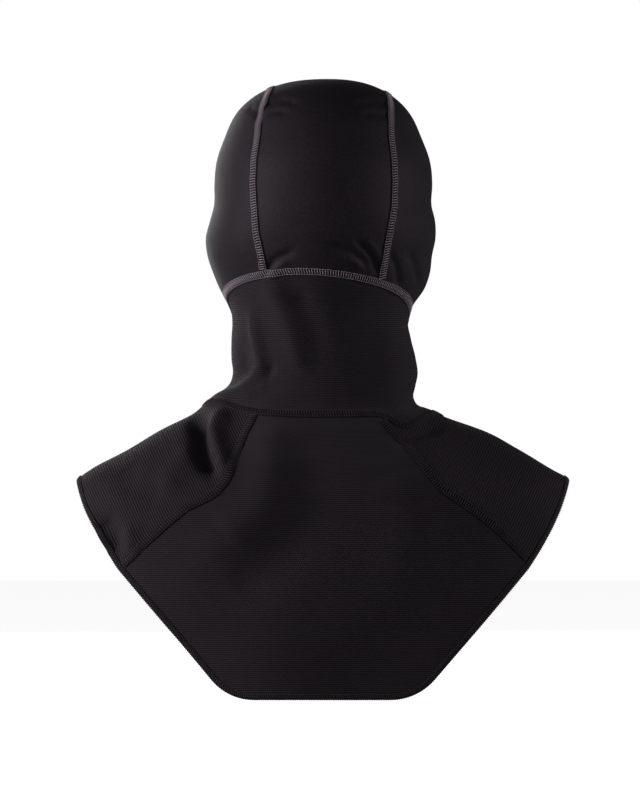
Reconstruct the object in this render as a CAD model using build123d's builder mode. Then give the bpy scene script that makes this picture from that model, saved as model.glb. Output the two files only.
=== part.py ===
"""Firefighter's knitted hood in its worn shape: crown, neck tube and shoulder cape, every ply a solid.

The origin is the inside of the lining at the top of the crown, where the hood sits on the head.
+Z points up, the face opening is on the -Y side and the wearer's left is +X.
"""
import os
from math import cos, radians, sin, sqrt

from build123d import *

# Heights, measured along the axis from the lowest point of the hem (millimetres)
cape_length = 226.0  # hem to neck seam
neck_length = 85.0  # neck seam to nape seam
crown_height = 183.0  # nape seam to top of crown
dome_height = 86.0  # widest level of the head to top of crown
tip_level = 175.0  # shoulder tip of the cape
hood_height = cape_length + neck_length + crown_height

# Half widths and half depths of the outer cloth
head_half_width = 87.0
head_half_depth = 101.0
neck_half_width = 73.0
neck_half_depth = 65.0
neck_foot_half_width = 84.0
neck_foot_drop = 9.0  # where the neck has turned into the shoulder
neck_foot_spread = 20.0
tip_half_width = 197.0
tip_half_depth = 95.0
cape_flare = 10.0  # how far the cape's form stands outside the shoulder tip
cape_hang = 15.0  # how much deeper the form is at the hem than at the tip
dome_fullness = 2.35  # superellipse exponent of the crown's profile
crown_flat = 4.0  # radius of the level spot on top

# Cloth plies, each as its start below the outer face and its thickness
panel_thickness = 1.0
barrier_thickness = 0.3
lining_thickness = 0.8
label_thickness = 0.5
ply_gap = 0.1
barrier_start = panel_thickness + ply_gap
lining_start = barrier_start + barrier_thickness + ply_gap
stack = lining_start + lining_thickness

# Seams
seam_width = 6.4
seam_height = 0.65  # how proud a flat seam's thread stands
seam_lift = 0.05  # clearance between thread and cloth
seam_gap = 0.4  # between two panels that meet in a seam
nape_slope = 0.40  # rise per millimetre towards the back
neck_slope = 0.04
crown_seam_nape = 46.0  # half distances between the crown's two seams
crown_seam_middle = 56.0
crown_seam_top = 40.0
seam_end_clearance = 0.3

# Shoulder seam, from the neck to the hem, as half distance and level
shoulder_seam_points = [
    (38.0, 245.0),
    (50.0, 223.0),
    (72.0, 190.0),
    (95.0, 163.0),
    (125.0, 141.0),
    (160.0, 108.0),
]
shoulder_seam_run_out = 25.0

# Hem
hem_bottom_half_width = 75.0
hem_corner_radius = 45.0
hem_turn = (163.0, 103.0)  # where the sloping hem meets the arm-side hem
hem_bulge = (185.5, 141.0)  # a point of the arm-side hem
overlock_width = 4.5
overlock_thickness = 0.8
overlock_clearance = 0.1

# Face opening
face_half_width = 60.0
face_half_height = 77.0
face_level = 379.0
binding_width = 10.0
binding_thickness = 1.0
binding_clearance = 0.1
panel_in_binding = 4.0  # how deep the panels reach into the binding
elastic_width = 4.0
elastic_thickness = 1.6

# Care label on the inside of the nape
label_half_width = 20.0
label_height = 50.0
label_level = 240.0

# Reach of the cutting prisms beyond the cloth
reach = 2.0 * (tip_half_width + tip_half_depth)

nape_level = cape_length + neck_length
crown_level = hood_height - dome_height


def height(level):
    """Frame height of a level that is measured from the lowest point of the hem."""
    return level - hood_height + stack


def hood_sections():
    """The outer form below the dome, top first: level, half width, half depth and set-back."""
    head_rise = crown_level - nape_level
    foot_level = cape_length + 0.05 * neck_length
    return [
        (crown_level, head_half_width, head_half_depth, 0.0),
        (nape_level + 0.50 * head_rise, head_half_width + 1.5, head_half_depth - 3.5, -3.0),
        (nape_level + 0.20 * head_rise, head_half_width - 3.5, head_half_depth - 13.0, -9.5),
        (cape_length + 0.97 * neck_length, neck_half_width + 2.5, neck_half_depth + 13.0, -14.0),
        (cape_length + 0.75 * neck_length, neck_half_width - 0.5, neck_half_depth + 4.0, -10.0),
        (cape_length + 0.30 * neck_length, neck_half_width + 2.0, neck_half_depth - 2.0, -4.0),
        (foot_level, neck_foot_half_width, neck_half_depth + 1.5, -3.0),
        (foot_level - neck_foot_drop, neck_foot_half_width + neck_foot_spread, neck_half_depth + 6.0, -2.0),
        (tip_level + 2.0, tip_half_width - 4.0, tip_half_depth, 0.0),
        (tip_level - 9.0, tip_half_width + 0.4 * cape_flare, tip_half_depth + 3.0, 0.0),
        (tip_level - 45.0, tip_half_width + cape_flare, tip_half_depth + 8.0, 0.0),
        (-12.0, tip_half_width + cape_flare, tip_half_depth + cape_hang, 0.0),
    ]


def ring(level, half_width, half_depth, set_back):
    """A flat elliptical section of the form."""
    with BuildSketch(Plane.XY.offset(height(level))) as section:
        with Locations((0, set_back)):
            Ellipse(half_width, half_depth)
    return section.sketch


def solid_form(inset):
    """The closed form of the hood, its surface lying the inset inside the outer face of the cloth."""
    rows = hood_sections()
    rings = []
    for index in range(len(rows) - 1, 0, -1):
        level, half_width, half_depth, set_back = rows[index]
        above = rows[index - 1]
        below = rows[min(index + 1, len(rows) - 1)]
        side_lean = (above[1] - below[1]) / (above[0] - below[0])
        depth_lean = (above[2] - below[2]) / (above[0] - below[0])
        side_inset = inset * sqrt(1.0 + side_lean**2)
        depth_inset = inset * sqrt(1.0 + depth_lean**2)
        rings.append(ring(level, half_width - side_inset, half_depth - depth_inset, set_back))
    for climb in (0, 24, 44, 60, 73, 83):
        narrowing = cos(radians(climb)) ** (2.0 / dome_fullness)
        rise = (dome_height - inset) * sin(radians(climb)) ** (2.0 / dome_fullness)
        half_width = (head_half_width - inset) * narrowing
        half_depth = (head_half_depth - inset) * narrowing
        rings.append(ring(crown_level + rise, half_width, half_depth, 0.0))
    rings.append(ring(hood_height - inset, crown_flat, crown_flat, 0.0))
    with BuildPart() as form:
        loft(rings, ruled=True)
    return form.part


def shell(start, thickness):
    """One ply over the whole form, from its start below the outer face."""
    with BuildPart() as ply:
        add(solid_form(start))
        add(solid_form(start + thickness), mode=Mode.SUBTRACT)
    return ply.part


def seam_plane(level, slope, shift):
    """The sloping plane of a seam that runs round the hood, moved up along its normal."""
    plane = Plane(origin=(0, 0, height(level)), x_dir=(1, 0, 0), z_dir=(0, -slope, 1))
    return plane.offset(shift)


def prism(outline, front, back):
    """A prism along Y from a sketch on the XZ plane, between two depths."""
    with BuildPart() as block:
        add(outline.moved(Location((0, back, 0))))
        extrude(amount=back - front, dir=(0, -1, 0))
    return block.part


def crown_strip(shift):
    """The middle strip of the crown in front view, its seam lines moved outwards by the shift."""
    low = height(cape_length)
    top = height(hood_height + dome_height)
    with BuildSketch(Plane.XZ) as strip:
        with BuildLine():
            side = Polyline((crown_seam_nape + shift, low), (crown_seam_nape + shift, height(nape_level)))
            curve = ThreePointArc(
                side @ 1,
                (crown_seam_middle + shift, height(crown_level)),
                (crown_seam_top + shift, height(hood_height)),
            )
            rise = Line(curve @ 1, (crown_seam_top + shift, top))
            Line(rise @ 1, (0, top))
            Line(side @ 0, (0, low))
            mirror(about=Plane.YZ)
        make_face()
    return strip.sketch


def face_ellipse(margin):
    """The face opening in front view, grown by the margin."""
    with BuildSketch(Plane.XZ) as opening:
        with Locations((0, height(face_level))):
            Ellipse(face_half_width + margin, face_half_height + margin)
    return opening.sketch


def hem_outline(inset):
    """The cape in front view inside its hem, drawn in by the inset."""
    top = height(hood_height) + reach
    with BuildSketch(Plane.XZ) as cape:
        with BuildLine():
            low = FilletPolyline(
                (0, height(0)),
                (hem_bottom_half_width, height(0)),
                (hem_turn[0], height(hem_turn[1])),
                radius=hem_corner_radius,
            )
            arm = ThreePointArc(
                low @ 1,
                (hem_bulge[0], height(hem_bulge[1])),
                (tip_half_width, height(tip_level)),
            )
            Polyline(arm @ 1, (reach, height(tip_level)), (reach, top), (0, top))
            mirror(about=Plane.YZ)
        make_face()
        if inset:
            offset(amount=-inset, kind=Kind.INTERSECTION, mode=Mode.REPLACE)
    return cape.sketch


def shoulder_line(shift):
    """The shoulder seam's points in front view, moved square to its run towards the arm."""
    step = shift / sqrt(2.0)
    last_x, last_level = shoulder_seam_points[-1]
    points = [(across + step, height(level) + step) for across, level in shoulder_seam_points]
    points.append((last_x + shoulder_seam_run_out + step, height(last_level - shoulder_seam_run_out) + step))
    return points


def bib_region(shift):
    """What lies between the two shoulder seams and below them, in front view."""
    points = shoulder_line(shift)
    bottom = height(-tip_level)
    with BuildSketch(Plane.XZ) as region:
        with BuildLine():
            seam = Spline(*points)
            Line((0, points[0][1]), seam @ 0)
            arm_level = (seam @ 1).Y - reach + points[-1][0]
            Polyline(seam @ 1, (reach, arm_level), (reach, bottom - reach), (0, bottom - reach))
            mirror(about=Plane.YZ)
        make_face()
    return region.sketch


def crown_core(shift):
    """The crown's middle strip as a solid, down the back and, in front, only above the face."""
    low = height(face_level) - shift
    with BuildPart() as core:
        add(prism(crown_strip(shift), -reach, reach))
        with BuildSketch(Plane.XY.offset(low)):
            with Locations((0, -reach / 2.0)):
                Rectangle(reach, reach)
        extrude(amount=-reach, mode=Mode.SUBTRACT)
    return core.part


def half_space(side_x=0, side_y=0, near=0.0):
    """A large block on one side of the YZ or XZ plane, from the near distance outwards."""
    away = near + reach / 2.0
    with BuildPart() as block:
        with Locations((side_x * away, side_y * away, 0)):
            Box(reach if side_x else 4.0 * reach, reach if side_y else 4.0 * reach, 4.0 * reach)
    return block.part


def above(ply, level, slope, shift):
    """The part of a ply above a sloping seam plane."""
    with BuildPart() as upper:
        add(ply)
        split(bisect_by=seam_plane(level, slope, shift), keep=Keep.TOP)
    return upper.part


def beneath(ply, level, slope, shift):
    """The part of a ply below a sloping seam plane."""
    with BuildPart() as lower:
        add(ply)
        split(bisect_by=seam_plane(level, slope, shift), keep=Keep.BOTTOM)
    return lower.part


def keep(part, name):
    """Labels a finished piece and writes it to its own file."""
    part.label = name
    export_step(part, f"parts/{name}.step")


os.makedirs("parts", exist_ok=True)
half_gap = seam_gap / 2.0
half_seam = seam_width / 2.0
seam_stop = half_seam + seam_end_clearance
sides = {"left": 1, "right": -1}
front = half_space(side_y=-1)
back = half_space(side_y=1)
panel_opening = prism(face_ellipse(binding_width - panel_in_binding), -reach, 0)
seam_opening = prism(face_ellipse(binding_width + seam_end_clearance), -reach, 0)
cape_edge = prism(hem_outline(overlock_thickness + overlock_clearance), -reach, reach)

# The cloth panels, ply by ply: knitted outer, particle barrier in crown and neck only, knitted lining
plies = {
    "panel": (0.0, panel_thickness),
    "barrier": (barrier_start, barrier_thickness),
    "lining": (lining_start, lining_thickness),
}
for kind, (start, thickness) in plies.items():
    ply = shell(start, thickness)

    crown = above(ply, nape_level, nape_slope, half_gap) - panel_opening
    with BuildPart() as crown_centre:
        add(crown)
        add(crown_core(-half_gap), mode=Mode.INTERSECT)
    keep(crown_centre.part, f"crown_centre_{kind}")

    for side, sign in sides.items():
        with BuildPart() as crown_side:
            add(crown)
            add(crown_core(half_gap), mode=Mode.SUBTRACT)
            add(half_space(side_x=sign, near=half_gap), mode=Mode.INTERSECT)
        keep(crown_side.part, f"crown_{side}_{kind}")

    with BuildPart() as neck:
        add(beneath(ply, nape_level, nape_slope, -half_gap))
        split(bisect_by=seam_plane(cape_length, neck_slope, half_gap), keep=Keep.TOP)
        with Locations((0, -reach / 2.0, 0)):
            Box(seam_gap, reach, 4.0 * reach, mode=Mode.SUBTRACT)
    keep(neck.part, f"neck_{kind}")

    if kind == "barrier":
        continue
    cape = beneath(ply, cape_length, neck_slope, -half_gap) & cape_edge
    for face, half in (("front", front), ("back", back)):
        with BuildPart() as bib:
            add(cape)
            add(prism(bib_region(-half_gap), -reach, reach), mode=Mode.INTERSECT)
            add(half, mode=Mode.INTERSECT)
        keep(bib.part, f"{face}_bib_{kind}")
    for side, sign in sides.items():
        with BuildPart() as shoulder:
            add(cape)
            add(prism(bib_region(half_gap), -reach, reach), mode=Mode.SUBTRACT)
            add(half_space(side_x=sign), mode=Mode.INTERSECT)
        keep(shoulder.part, f"{side}_shoulder_{kind}")

# Flat seams: bands of thread that stand on the outer face and cover the gaps between panels
thread = shell(-seam_lift - seam_height, seam_height)
crown_thread = above(thread, nape_level, nape_slope, seam_stop) - seam_opening
for side, sign in sides.items():
    with BuildPart() as crown_seam:
        add(crown_thread)
        add(crown_core(half_seam), mode=Mode.INTERSECT)
        add(crown_core(-half_seam), mode=Mode.SUBTRACT)
        add(half_space(side_x=sign), mode=Mode.INTERSECT)
    keep(crown_seam.part, f"crown_{side}_seam")

with BuildPart() as chin_seam:
    add(crown_thread)
    with Locations((0, -reach / 2.0, height(face_level) - reach / 2.0)):
        Box(seam_width, reach, reach, mode=Mode.INTERSECT)
keep(chin_seam.part, "chin_seam")

with BuildPart() as nape_seam:
    add(beneath(thread, nape_level, nape_slope, half_seam))
    split(bisect_by=seam_plane(nape_level, nape_slope, -half_seam), keep=Keep.TOP)
keep(nape_seam.part, "nape_seam")

with BuildPart() as neck_front_seam:
    add(beneath(thread, nape_level, nape_slope, -seam_stop))
    split(bisect_by=seam_plane(cape_length, neck_slope, seam_stop), keep=Keep.TOP)
    with Locations((0, -reach / 2.0, 0)):
        Box(seam_width, reach, 4.0 * reach, mode=Mode.INTERSECT)
keep(neck_front_seam.part, "neck_front_seam")

with BuildPart() as neck_base_seam:
    add(beneath(thread, cape_length, neck_slope, half_seam))
    split(bisect_by=seam_plane(cape_length, neck_slope, -half_seam), keep=Keep.TOP)
keep(neck_base_seam.part, "neck_base_seam")

inner_hem = prism(hem_outline(overlock_width + seam_end_clearance), -reach, reach)
cape_thread = beneath(thread, cape_length, neck_slope, -seam_stop) & inner_hem
for face, half in (("front", front), ("back", back)):
    for side, sign in sides.items():
        with BuildPart() as shoulder_seam:
            add(cape_thread)
            add(prism(bib_region(half_seam), -reach, reach), mode=Mode.INTERSECT)
            add(prism(bib_region(-half_seam), -reach, reach), mode=Mode.SUBTRACT)
            add(half, mode=Mode.INTERSECT)
            add(half_space(side_x=sign), mode=Mode.INTERSECT)
        keep(shoulder_seam.part, f"{face}_{side}_shoulder_seam")

# The overlocked hem: a channel of thread folded round the edge of both plies of the cape
overlock_cover = overlock_thickness + overlock_clearance
with BuildPart() as hem_overlock:
    add(shell(-overlock_cover, stack + 2.0 * overlock_cover))
    add(prism(hem_outline(0), -reach, reach), mode=Mode.INTERSECT)
    add(prism(hem_outline(overlock_width), -reach, reach), mode=Mode.SUBTRACT)
    hem_slot = shell(-overlock_clearance, stack + 2.0 * overlock_clearance)
    add(hem_slot & prism(hem_outline(overlock_thickness), -reach, reach), mode=Mode.SUBTRACT)
keep(hem_overlock.part, "hem_overlock")

# The face opening: a folded binding round the edge of all plies, with elastic in its fold
binding_cover = binding_thickness + binding_clearance
with BuildPart() as face_binding:
    add(shell(-binding_cover, stack + 2.0 * binding_cover))
    add(prism(face_ellipse(binding_width), -reach, 0), mode=Mode.INTERSECT)
    add(prism(face_ellipse(0), -reach, 0), mode=Mode.SUBTRACT)
    binding_slot = shell(-binding_clearance, stack + 2.0 * binding_clearance)
    add(binding_slot - prism(face_ellipse(binding_thickness), -reach, 0), mode=Mode.SUBTRACT)
keep(face_binding.part, "face_binding")

elastic_start = binding_thickness + seam_end_clearance
with BuildPart() as face_elastic:
    add(shell((stack - elastic_thickness) / 2.0, elastic_thickness))
    add(prism(face_ellipse(elastic_start + elastic_width), -reach, 0), mode=Mode.INTERSECT)
    add(prism(face_ellipse(elastic_start), -reach, 0), mode=Mode.SUBTRACT)
keep(face_elastic.part, "face_elastic")

with BuildPart() as care_label:
    add(shell(stack + ply_gap, label_thickness))
    with Locations((0, reach / 2.0, height(label_level) + label_height / 2.0)):
        Box(2.0 * label_half_width, reach, label_height, mode=Mode.INTERSECT)
keep(care_label.part, "care_label")
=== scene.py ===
"""The visible cloth, threads and binding of a firefighter's knitted hood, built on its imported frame."""

import bmesh
import bpy
import numpy as np
from math import cos, pi, radians, sin
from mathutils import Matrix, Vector


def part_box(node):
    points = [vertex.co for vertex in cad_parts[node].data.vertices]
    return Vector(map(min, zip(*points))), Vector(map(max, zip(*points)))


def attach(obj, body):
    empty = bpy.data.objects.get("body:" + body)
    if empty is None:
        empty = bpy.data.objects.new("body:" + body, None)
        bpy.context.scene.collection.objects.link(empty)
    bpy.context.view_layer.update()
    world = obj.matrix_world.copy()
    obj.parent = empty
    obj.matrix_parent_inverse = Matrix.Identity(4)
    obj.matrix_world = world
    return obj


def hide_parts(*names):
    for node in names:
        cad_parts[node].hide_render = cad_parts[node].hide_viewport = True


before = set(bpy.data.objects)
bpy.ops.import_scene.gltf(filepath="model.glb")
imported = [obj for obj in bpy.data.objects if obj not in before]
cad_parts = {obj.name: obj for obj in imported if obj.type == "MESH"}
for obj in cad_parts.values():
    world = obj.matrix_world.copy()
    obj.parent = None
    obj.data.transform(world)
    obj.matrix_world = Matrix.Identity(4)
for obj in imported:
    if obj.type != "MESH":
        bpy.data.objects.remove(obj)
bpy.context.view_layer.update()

# ----------------------------------------
# Studio: a level camera behind the hood, a white room and floor, a large soft lamp at the
# wearer's left and a weaker one at the right.
hem_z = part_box("hem_overlock")[0][2]
camera_distance = 9.0
camera_side = 0.0022
view_height = 0.640  # covered at the hood, from bottom to top of the view
view_middle = 0.2366  # of the view, above the lowest point of the hem

camera = bpy.data.objects.new("camera", bpy.data.cameras.new("camera"))
camera.data.sensor_width = 36.0
camera.data.lens = 36.0 * camera_distance / view_height
camera.location = (camera_side, camera_distance, hem_z + view_middle)
camera.rotation_euler = (radians(90), 0, radians(180))
bpy.context.scene.collection.objects.link(camera)
bpy.context.scene.camera = camera
bpy.context.scene.view_settings.view_transform = "Standard"


def lamp(name, place, aim, size, power):
    """A square soft lamp at a place, turned towards a point."""
    data = bpy.data.lights.new(name, "AREA")
    data.energy = power
    data.size = size
    light = bpy.data.objects.new(name, data)
    light.location = place
    light.rotation_euler = (Vector(aim) - Vector(place)).to_track_quat("-Z", "Y").to_euler()
    bpy.context.scene.collection.objects.link(light)


lamp("key_lamp", (2.3, 0.55, 0.10), (0, 0, -0.22), 1.3, 48)
lamp("side_lamp", (-2.4, 0.1, 0.0), (0, 0, -0.22), 1.2, 19)
lamp("front_lamp", (0.9, -2.3, 0.1), (0, 0, -0.25), 1.5, 24)
lamp("fill_lamp", (0.3, 2.6, 0.5), (0, 0, -0.3), 1.8, 9)


def settle(node, values):
    """Sets a node's own inputs."""
    for socket, value in values.items():
        node.inputs[socket].default_value = value


world = bpy.data.worlds.new("white_room")
bpy.context.scene.world = world
world.use_nodes = True
room = world.node_tree
settle(room.nodes["Background"], {"Color": (1, 1, 1, 1)})
direction = room.nodes.new("ShaderNodeTexCoord")
parts = room.nodes.new("ShaderNodeSeparateXYZ")
room.links.new(direction.outputs["Generated"], parts.inputs[0])
ambient = room.nodes.new("ShaderNodeMapRange")  # the room's light comes from its walls, not its ceiling
settle(ambient, {"From Min": -0.3, "From Max": 0.6, "To Min": 0.13, "To Max": 0.015})
room.links.new(parts.outputs["Z"], ambient.inputs["Value"])
seen = room.nodes.new("ShaderNodeLightPath")
strength = room.nodes.new("ShaderNodeMapRange")
room.links.new(ambient.outputs["Result"], strength.inputs["To Min"])
room.links.new(seen.outputs["Is Camera Ray"], strength.inputs["Value"])
room.links.new(strength.outputs["Result"], room.nodes["Background"].inputs["Strength"])

floor_mesh = bpy.data.meshes.new("floor")
floor_reach = 6.0
floor_z = hem_z - 0.004
corners = [(x * floor_reach, y * floor_reach, floor_z) for x, y in ((-1, -1), (1, -1), (1, 1), (-1, 1))]
floor_mesh.from_pydata(corners, [], [(0, 1, 2, 3)])
floor = bpy.data.objects.new("floor", floor_mesh)
bpy.context.scene.collection.objects.link(floor)
floor.visible_diffuse = False
floor.visible_glossy = False
pale = bpy.data.materials.new("floor_white")
pale.use_nodes = True
settle(pale.node_tree.nodes["Principled BSDF"], {
    "Base Color": (0.35, 0.35, 0.35, 1), "Roughness": 1.0,
    "Emission Color": (1, 1, 1, 1), "Emission Strength": 0.93})
floor_mesh.materials.append(pale)

# ----------------------------------------
# Crown: a middle strip from the nape over the head to the brow, and two side panels that meet
# under the chin. Smooth stretch jersey outside, a thin particle barrier, and a knitted lining,
# cut as flat panels and sewn edge to edge.
mm = 0.001

# It shares one closed form with the neck and cape: a head, a slack neck tube and sloping
# shoulders. The rows give it from hem to the widest level of the head, in millimetres: level,
# half widths left and right, half depth, set-back and squareness.
form_rows = np.array([
    (-14, 207, 207, 110, 0, 2.3),
    (60, 207, 207, 108, 0, 2.3),
    (115, 207, 207, 105, 0, 2.3),
    (150, 205, 205, 101, 0, 2.3),
    (166, 201.5, 201.5, 98, 0, 2.25),
    (173.6, 196.5, 197, 95, 0, 2.25),
    (181.6, 185.5, 182.5, 92, 0, 2.2),
    (197.6, 154.5, 155, 84.5, -1, 2.1),
    (213.6, 126.5, 126, 76.5, -2, 2.05),
    (222, 109, 103, 72, -2.5, 2.05),
    (229.6, 98, 80, 68, -3, 2),
    (237.6, 88, 73, 65, -3, 2),
    (247, 76, 74, 63.5, -4, 2),
    (257, 71.5, 76, 64, -6, 2),
    (270, 72.5, 74.5, 66, -8.5, 2),
    (286, 72.8, 71, 70, -12, 2),
    (300, 72.5, 69, 75, -14, 2),
    (310, 74, 72, 78.5, -14, 2),
    (325, 82.2, 82, 86, -11, 2),
    (338, 87.2, 86.5, 92, -8, 2),
    (352, 91.5, 88, 96, -4.5, 2),
    (366, 92.8, 90.5, 98.5, -2, 2),
    (380, 89.5, 89.8, 100, -0.5, 2),
    (392, 86.6, 86.8, 100.7, 0, 2),
    (408, 86.6, 87.4, 101, 0, 2),
])
crown_level = 408.0
dome_height = 86.0
dome_fullness = 2.35
dome_pinch, pinch_level, pinch_width = 0.025, 448.0, 16.0


def smooth_curve(at, keys, values):
    """A smooth curve through given keys (cubic Hermite)."""
    slopes = np.gradient(values, keys)
    span = np.clip(np.searchsorted(keys, at) - 1, 0, len(keys) - 2)
    width = keys[span + 1] - keys[span]
    t = np.clip((at - keys[span]) / width, 0.0, 1.0)
    start = (1 + 2 * t) * (1 - t) ** 2 * values[span] + t * (1 - t) ** 2 * width * slopes[span]
    end = t**2 * (3 - 2 * t) * values[span + 1] + t**2 * (t - 1) * width * slopes[span + 1]
    return start + end


def smoothstep(low, high, value):
    """0 below low, 1 above high, and smooth between them."""
    t = np.clip((value - low) / (high - low), 0.0, 1.0)
    return t * t * (3 - 2 * t)


def form_at(level):
    """Half widths, half depth, set-back and squareness at a level, with the dome drawn in."""
    level = np.asarray(level, float)
    low = np.minimum(level, crown_level)
    body = [smooth_curve(low, form_rows[:, 0], form_rows[:, k]) for k in range(1, 6)]
    rise = np.clip((level - crown_level) / dome_height, 0.0, 1.0)
    scale = (1.0 - rise**dome_fullness) ** (1.0 / dome_fullness)
    scale = scale * (1.0 - dome_pinch * np.exp(-(((level - pinch_level) / pinch_width) ** 2)))
    scale = np.where(level > crown_level, scale, 1.0)
    return body[0] * scale, body[1] * scale, body[2] * scale, body[3], body[4]


def form_point(level, turn):
    """A point of the form: turn 0 is the middle of the back, a quarter turn the wearer's left."""
    left, right, depth, set_back, squareness = form_at(level)
    side, along = np.sin(turn), np.cos(turn)
    x = np.where(side >= 0, left, right) * np.sign(side) * np.abs(side) ** (2.0 / squareness)
    y = set_back + depth * np.sign(along) * np.abs(along) ** (2.0 / squareness)
    return np.stack([x, y, np.broadcast_to(level, x.shape)], axis=-1)


def near_line(x, level, line):
    """Distance in back view to a line of points, and how far along the line (0 to 1) it is nearest."""
    best = np.full(np.shape(x), 1e9)
    share = np.zeros(np.shape(x))
    spans = len(line) - 1
    for number, ((x0, h0), (x1, h1)) in enumerate(zip(line, line[1:])):
        wide, high = x1 - x0, h1 - h0
        run = np.clip(((x - x0) * wide + (level - h0) * high) / (wide**2 + high**2), 0, 1)
        gap = np.hypot(x - x0 - run * wide, level - h0 - run * high)
        closer = gap < best
        best = np.where(closer, gap, best)
        share = np.where(closer, (number + run) / spans, share)
    return best, share


# Folds and wrinkles as the worn cloth has them: height (valleys are negative), half width, and
# the line they follow in back view, all in millimetres.
back_folds = [
    (7.0, 7.0, [(78, 226), (86, 212), (84, 196), (80, 184)]),
    (-13.0, 6.5, [(99, 222), (98, 208), (94, 192), (88, 182)]),
    (3.0, 9.0, [(104, 196), (120, 178), (122, 168)]),
    (-2.6, 12.0, [(160, 182), (150, 168), (128, 160)]),
    (-7.0, 8.0, [(176, 142), (168, 130), (164, 118)]),
    (3.0, 7.0, [(156, 134), (152, 120)]),
    (4.4, 5.0, [(56, 306), (51, 280), (48, 264), (54, 252), (66, 242), (88, 236)]),
    (-2.6, 4.5, [(64, 276), (61, 262), (72, 251), (92, 243)]),
    (2.0, 4.0, [(44, 256), (50, 246), (62, 238)]),
    (-1.8, 3.5, [(40, 264), (44, 254), (54, 246)]),
    (3.0, 9.0, [(44, 333), (30, 303), (22, 278), (17, 262)]),
    (-2.4, 10.0, [(22, 322), (8, 296), (4, 272)]),
    (2.0, 10.0, [(-50, 300), (-56, 270), (-52, 245)]),
    (4.5, 18.0, [(42, 216), (40, 178), (50, 150), (80, 128)]),
    (-4.0, 22.0, [(12, 190), (10, 150), (30, 118), (70, 88)]),
    (2.5, 22.0, [(-60, 180), (-70, 140), (-60, 90)]),
    (-2.0, 20.0, [(-110, 150), (-100, 110), (-80, 70)]),
    (3.4, 6.0, [(-58, 230), (-70, 223), (-82, 228), (-92, 226)]),
    (-3.6, 5.5, [(-54, 210), (-66, 205), (-78, 210), (-92, 214)]),
    (-2.8, 3.0, [(-8, 357), (-22, 354), (-36, 343)]),
    (-3.0, 3.0, [(-28, 361), (-38, 353), (-44, 338)]),
    (2.0, 3.0, [(-18, 351), (-30, 344)]),
    (1.6, 2.8, [(-36, 360), (-44, 350)]),
    (-2.4, 3.0, [(46, 338), (38, 347), (24, 354)]),
    (1.4, 3.0, [(40, 338), (30, 346)]),
    (-2.2, 3.0, [(-54, 352), (-59, 342), (-61, 328)]),
    (-2.2, 3.0, [(-70, 352), (-75, 342), (-77, 330)]),
    (-2.0, 2.8, [(-50, 472), (-40, 474), (-26, 472)]),
    (-1.6, 2.8, [(-52, 463), (-40, 465), (-34, 464)]),
    (-2.0, 2.8, [(46, 473), (36, 476), (22, 474)]),
    (-1.8, 2.8, [(50, 463), (38, 467), (30, 466)]),
    (-1.6, 2.8, [(60, 470), (52, 466), (50, 458)]),
]
front_folds = [
    (3.0, 16.0, [(30, 210), (40, 160), (60, 110)]),
    (-3.0, 18.0, [(0, 200), (4, 150), (0, 90)]),
    (3.0, 16.0, [(-34, 206), (-50, 150), (-64, 100)]),
    (2.0, 7.0, [(-60, 290), (-30, 262), (-10, 244)]),
    (2.2, 7.0, [(60, 280), (34, 256), (10, 240)]),
    (-1.6, 6.0, [(-50, 274), (-20, 250)]),
]
unevenness = 0.9  # of knit that nothing pulls flat, in millimetres
hem_waves = 2.6  # of the loose cloth above the hem
line_ends = 0.12  # how far a fold runs on past its line, as a share of it


def fold_height(x, y, level):
    """How far the cloth stands out of the plain form."""
    height = unevenness * np.sin(x / 31.0 + level / 47.0) * np.sin(level / 38.0 + x / 83.0 + 0.6)
    back_share = smoothstep(-18.0, 22.0, y)
    for folds, side_share in ((back_folds, back_share), (front_folds, 1 - back_share)):
        for size, width, line in folds:
            gap, share = near_line(x, level, line)
            fade = smoothstep(0.0, 0.25, share + line_ends) * smoothstep(0.0, 0.25, 1 + line_ends - share)
            height += size * np.exp(-((gap / width) ** 2)) * fade * side_share
    hang = 1.0 - smoothstep(20.0, 150.0, level)
    height += hang * hem_waves * np.sin(x / 27.0 + np.where(y > 0, 0.4, 2.1))
    return height


# The skin: a fine grid over the whole form, evenly spaced along the cloth, with its folds.
columns = 448
cloth_step = 2.5
dome_rows, last_climb = 56, 88.8
fine = np.linspace(form_rows[0, 0], crown_level, 1700)
fine_left, _, fine_depth, _, _ = form_at(fine)
slant = np.sqrt(np.gradient(fine_left, fine) ** 2 * 0.5 + np.gradient(fine_depth, fine) ** 2 * 0.5 + 1.0)
travelled = np.concatenate([[0.0], np.cumsum(slant[1:] * np.diff(fine))])
body_levels = np.interp(np.arange(0.0, travelled[-1], cloth_step), travelled, fine)
climbs = np.radians(np.linspace(0.0, last_climb, dome_rows))
dome_levels = crown_level + dome_height * np.sin(climbs) ** (2.0 / dome_fullness)
levels = np.concatenate([body_levels, dome_levels])
turns = np.arange(columns) * 2 * pi / columns
plain = form_point(levels[:, None] * np.ones(columns), turns[None, :] * np.ones((len(levels), 1)))


def unit(vectors):
    return vectors / np.linalg.norm(vectors, axis=-1, keepdims=True)


def grid_normals(grid):
    """Outward unit normals of a grid that closes on itself from side to side."""
    around = np.roll(grid, -1, axis=1) - np.roll(grid, 1, axis=1)
    up = np.gradient(grid, axis=0)
    normals = np.cross(around, up)
    normals /= np.linalg.norm(normals, axis=-1, keepdims=True) + 1e-12
    outward = np.sum(normals * (grid - grid.mean(axis=1, keepdims=True)), axis=-1).mean()
    return normals if outward > 0 else -normals


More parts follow.
